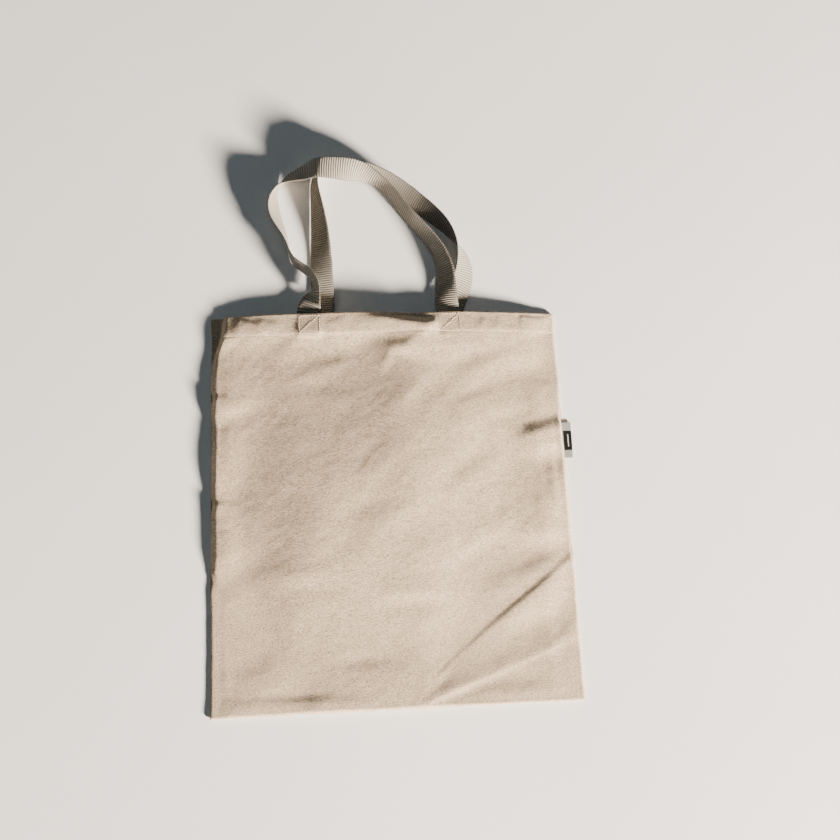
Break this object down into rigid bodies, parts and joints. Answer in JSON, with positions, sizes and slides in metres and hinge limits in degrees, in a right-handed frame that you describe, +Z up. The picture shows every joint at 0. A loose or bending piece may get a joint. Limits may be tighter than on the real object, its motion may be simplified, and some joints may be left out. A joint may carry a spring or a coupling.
{
  "type": "tote bag",
  "caption": "Flat open-topped carrying bag in plain woven cotton, lying on its back, with a wide mouth and soft webbing loops for the hand or shoulder.",
  "frame": {"origin": "centre of the back panel's outer face, which the bag lies on", "axes": "+X to the bag's right side seam, +Y from the bottom seam to the mouth and handles, +Z up through the front panel"},
  "size_m": [0.3899, 0.6032, 0.0329],
  "materials": {
    "canvas": "woven",
    "webbing": "ribbed weave",
    "stitch_thread": "matt",
    "seam_thread": "matt",
    "label_tape": "woven"
  },
  "bodies": {
    "back": {"back_panel": "canvas", "back_handle_left_end": "webbing", "back_handle_right_end": "webbing", "back_left_box_stitch": "stitch_thread", "back_right_box_stitch": "stitch_thread", "back_hem_stitch": "stitch_thread", "left_seam_thread": "seam_thread", "right_seam_thread": "seam_thread", "bottom_seam_thread": "seam_thread"},
    "front": {"front_panel": "canvas", "front_handle_left_end": "webbing", "front_handle_right_end": "webbing", "front_left_box_stitch": "stitch_thread", "front_right_box_stitch": "stitch_thread", "front_hem_stitch": "stitch_thread"},
    "front_handle": {"front_handle_loop": "webbing"},
    "back_handle": {"back_handle_loop": "webbing"},
    "label": {"side_label": "label_tape"}
  },
  "joints": [
    {"name": "mouth_open", "type": "hinge", "parent": "back", "child": "front", "pos_m": [0, -0.21, 0.0018], "axis": [1, 0, 0], "range_deg": [0, 5]},
    {"name": "front_handle_swing", "type": "hinge", "parent": "front", "child": "front_handle", "pos_m": [0, 0.21345, 0.0111], "axis": [1, 0, 0], "range_deg": [0, 80]},
    {"name": "back_handle_swing", "type": "hinge", "parent": "back", "child": "back_handle", "pos_m": [0, 0.21345, 0.0042], "axis": [1, 0, 0], "range_deg": [0, 60]},
    {"name": "label_flap", "type": "hinge", "parent": "back", "child": "label", "pos_m": [0.1909, 0.064, 0.00175], "axis": [0, -1, 0], "range_deg": [0, 90]}
  ],
  "couplings": [
    {"joint": "back_handle_swing", "follows": "front_handle_swing", "ratio": 0.74}
  ]
}
